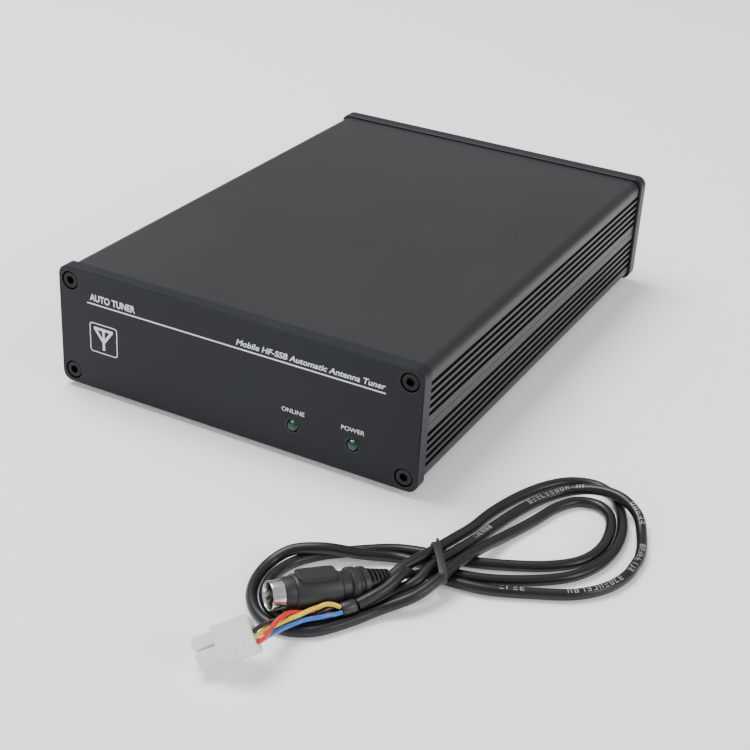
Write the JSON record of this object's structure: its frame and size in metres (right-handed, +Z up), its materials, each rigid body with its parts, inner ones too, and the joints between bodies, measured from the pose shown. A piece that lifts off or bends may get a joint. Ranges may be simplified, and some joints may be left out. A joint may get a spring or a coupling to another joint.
{
  "type": "antenna tuner",
  "caption": "Flat radio antenna tuner in a finned two-part aluminium case with screwed end plates, rear sockets, earth post and a tied loose control cable.",
  "frame": {"origin": "on the surface the tuner stands on, under the middle of the tuner itself, without its loose cable", "axes": "+X to the tuner's right as seen from its front, +Y from the front panel to the rear panel, +Z up"},
  "size_m": [0.2373, 0.3581, 0.051],
  "materials": {
    "black_anodised_case": "satin black anodised",
    "black_anodised_panel": "satin black anodised",
    "black_steel": "black oxide",
    "bright_steel": "plated",
    "black_rubber": "matte",
    "green_lens": "clear tinted dome",
    "nickel_plate": "nickel plated",
    "brass": "bright",
    "white_insulator": "matte",
    "black_moulding": "matte",
    "copper": "bare copper",
    "green_board": "satin",
    "relay_cover": "satin",
    "wound_core": "satin",
    "capacitor_can": "satin",
    "cable_jacket": "satin black jacket",
    "tie_band": "matte",
    "white_nylon": "natural",
    "black_wire": "satin",
    "yellow_wire": "satin",
    "red_wire": "satin",
    "blue_wire": "satin"
  },
  "bodies": {
    "case": {"top_shell": "black_anodised_case", "bottom_shell": "black_anodised_case", "front_panel": "black_anodised_panel", "rear_panel": "black_anodised_panel", "front_screw_top_left": "black_steel", "front_screw_top_right": "black_steel", "front_screw_bottom_left": "black_steel", "front_screw_bottom_right": "black_steel", "rear_screw_top_left": "black_steel", "rear_screw_top_right": "black_steel", "rear_screw_bottom_left": "black_steel", "rear_screw_bottom_right": "black_steel", "radio_flange_screw_1": "bright_steel", "radio_flange_screw_2": "bright_steel", "antenna_flange_screw_1": "bright_steel", "antenna_flange_screw_2": "bright_steel", "foot_front_left": "black_rubber", "foot_front_right": "black_rubber", "foot_rear_left": "black_rubber", "foot_rear_right": "black_rubber", "online_led": "green_lens", "power_led": "green_lens", "radio_socket": "nickel_plate", "antenna_socket": "nickel_plate", "radio_contact": "brass", "antenna_contact": "brass", "ground_stud": "brass", "ground_lock_nut": "brass", "radio_insulator": "white_insulator", "antenna_insulator": "white_insulator", "interface_jack": "black_moulding", "controller": "black_moulding", "voltage_regulator": "black_moulding", "radio_feed": "copper", "antenna_feed": "copper", "circuit_board": "green_board", "relay_1": "relay_cover", "relay_2": "relay_cover", "relay_3": "relay_cover", "relay_4": "relay_cover", "relay_5": "relay_cover", "tuning_coil_1": "wound_core", "tuning_coil_2": "wound_core", "tuning_coil_3": "wound_core", "coupler_coil": "wound_core", "filter_capacitor": "capacitor_can"},
    "ground_washer": {"ground_washer": "nickel_plate"},
    "ground_nut": {"ground_wing_nut": "brass"},
    "cable": {"interface_cable": "cable_jacket", "plug_shell": "nickel_plate", "plug_pins": "black_moulding", "plug_body": "cable_jacket", "hank_tie": "tie_band", "wire_sleeve": "cable_jacket", "wire_black": "black_wire", "wire_yellow": "yellow_wire", "wire_red": "red_wire", "wire_blue": "blue_wire", "connector_housing": "white_nylon"}
  },
  "joints": [
    {"name": "ground_nut_travel", "type": "slide", "parent": "case", "child": "ground_washer", "axis": [0, 1, 0], "range_m": [0, 0.0035]},
    {"name": "ground_nut_turn", "type": "hinge", "parent": "ground_washer", "child": "ground_nut", "pos_m": [0.016, 0.1107, 0.0295], "axis": [0, 1, 0], "range_deg": [0, 1800]},
    {"name": "cable_lift", "type": "slide", "parent": "case", "child": "cable", "axis": [0, 0, 1], "range_m": [0, 0.08]}
  ],
  "couplings": [
    {"joint": "ground_nut_turn", "follows": "ground_nut_travel", "rad_per_m": 8976}
  ]
}
